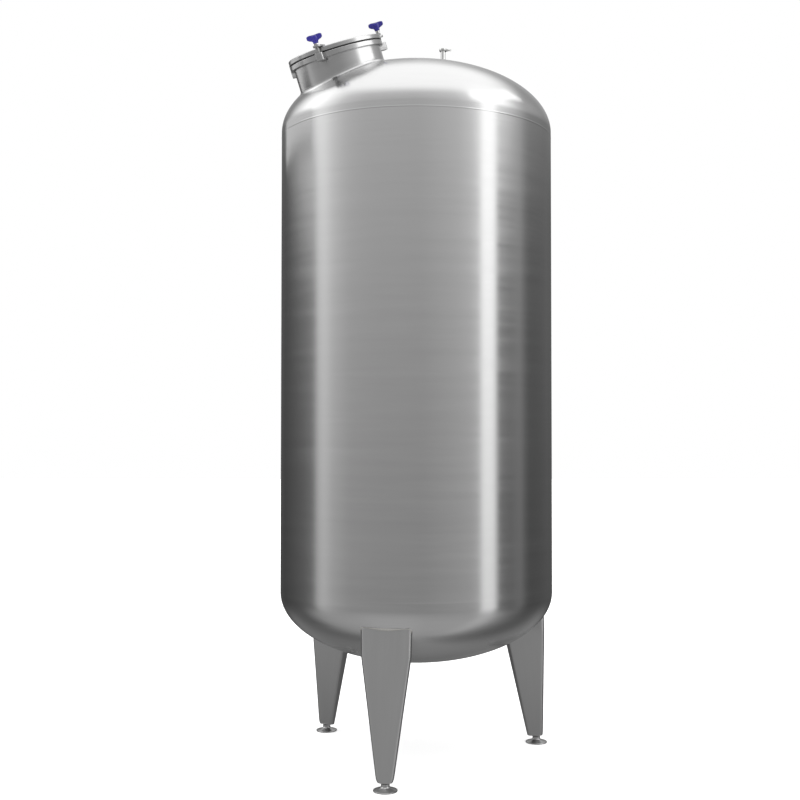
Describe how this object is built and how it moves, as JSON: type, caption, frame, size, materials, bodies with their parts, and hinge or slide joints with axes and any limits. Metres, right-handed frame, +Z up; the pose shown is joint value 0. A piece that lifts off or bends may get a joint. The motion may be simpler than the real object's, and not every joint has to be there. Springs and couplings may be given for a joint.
{
  "type": "vertical storage tank",
  "caption": "Upright round steel storage tank with dished ends, on tapered folded legs, with a slanted manway, hinged lid, wing screws and a small vent.",
  "frame": {"origin": "on the floor under the tank's axis", "axes": "+Z up along the tank's axis, -Y towards the viewer of the picture, +X to the viewer's right"},
  "size_m": [1.206, 1.2172, 3.2251],
  "materials": {
    "shell_steel": "satin, brushed round the tank",
    "leg_steel": "satin, brushed along the leg",
    "foot_steel": "turned satin",
    "neck_steel": "satin, brushed round the neck",
    "lid_steel": "satin",
    "turned_steel": "turned, bright",
    "gasket_rubber": "matte",
    "knob_plastic": "gloss, moulded"
  },
  "bodies": {
    "tank": {"bottom_head": "shell_steel", "top_head": "shell_steel", "shell_plate_1": "shell_steel", "shell_plate_2": "shell_steel", "shell_plate_3": "shell_steel", "shell_plate_4": "shell_steel", "leg_1": "leg_steel", "leg_2": "leg_steel", "leg_3": "leg_steel", "leg_base_plate_1": "leg_steel", "leg_base_plate_2": "leg_steel", "leg_base_plate_3": "leg_steel", "foot_1": "foot_steel", "foot_2": "foot_steel", "foot_3": "foot_steel", "foot_stud_1": "foot_steel", "foot_stud_2": "foot_steel", "foot_stud_3": "foot_steel", "manway_neck": "neck_steel", "manway_rim": "neck_steel", "neck_lug_1": "neck_steel", "neck_lug_2": "neck_steel", "hinge_bracket": "neck_steel", "hinge_pin": "turned_steel", "vent_pipe": "turned_steel", "vent_cap": "turned_steel", "vent_clamp": "turned_steel", "vent_wing_nut": "turned_steel", "outlet_ferrule": "turned_steel"},
    "lid": {"manway_lid": "lid_steel", "manway_gasket": "gasket_rubber", "lid_ear_1": "lid_steel", "lid_ear_2": "lid_steel", "hinge_strap": "lid_steel"},
    "screw_1": {"wing_screw_1": "turned_steel", "wing_knob_1": "knob_plastic"},
    "screw_2": {"wing_screw_2": "turned_steel", "wing_knob_2": "knob_plastic"}
  },
  "joints": [
    {"name": "lid_hinge", "type": "hinge", "parent": "tank", "child": "lid", "pos_m": [-0.53412, -0.10464, 3.04516], "axis": [-0.5525, -0.7641, -0.3331], "range_deg": [0, 110]},
    {"name": "wing_screw_1_turn", "type": "hinge", "parent": "lid", "child": "screw_1", "pos_m": [-0.40984, -0.4591, 3.01521], "axis": [-0.2869, -0.2009, 0.9367], "continuous": true},
    {"name": "wing_screw_2_turn", "type": "hinge", "parent": "lid", "child": "screw_2", "pos_m": [-0.16274, -0.15721, 3.15564], "axis": [-0.2869, -0.2009, 0.9367], "continuous": true}
  ]
}
